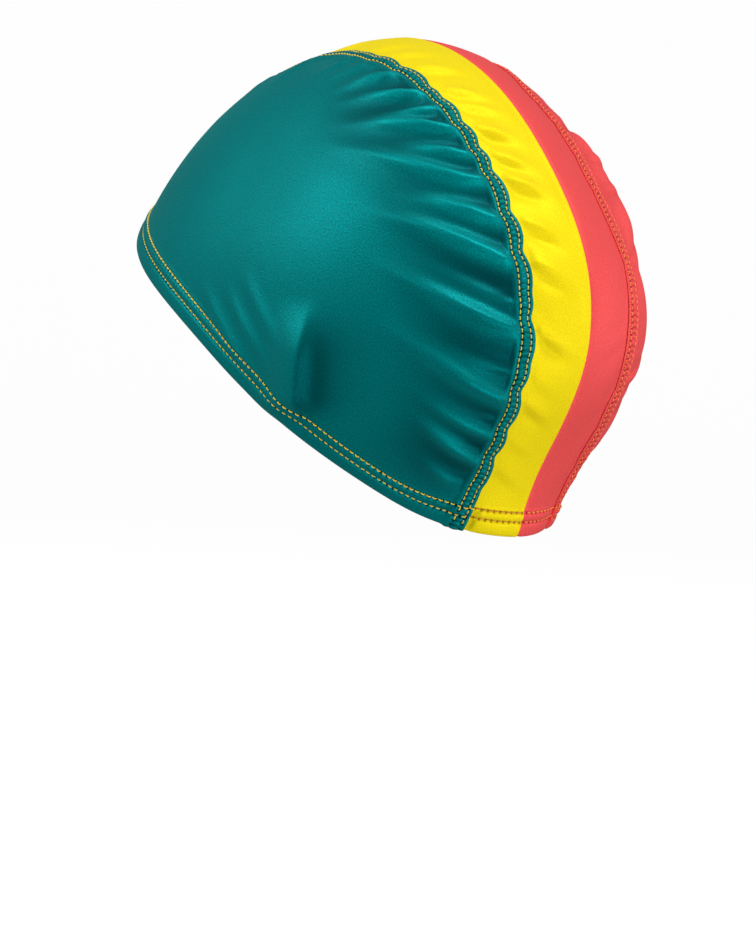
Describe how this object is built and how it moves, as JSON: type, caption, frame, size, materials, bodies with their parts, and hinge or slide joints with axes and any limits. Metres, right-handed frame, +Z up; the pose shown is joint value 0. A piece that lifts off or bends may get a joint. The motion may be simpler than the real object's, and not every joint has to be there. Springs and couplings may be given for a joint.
{
  "type": "swim cap",
  "caption": "Close-fitting stretch-cloth swim cap with two gathered side panels, a two-band centre strip from brow to nape and a stitched hem.",
  "frame": {"origin": "middle of the head hollow, on the midline, level with the widest part of the head, where the cap is held by the head it sits on", "axes": "+X is the wearer's left, -Y the way the wearer faces, +Z up from the neck to the crown"},
  "size_m": [0.1506, 0.1979, 0.1654],
  "materials": {
    "teal_cloth": "satin stretch knit",
    "yellow_cloth": "satin stretch knit",
    "coral_cloth": "satin stretch knit"
  },
  "bodies": {
    "root": {"left_panel": "teal_cloth", "right_panel": "coral_cloth", "yellow_strip": "yellow_cloth", "coral_strip": "coral_cloth"}
  },
  "joints": []
}
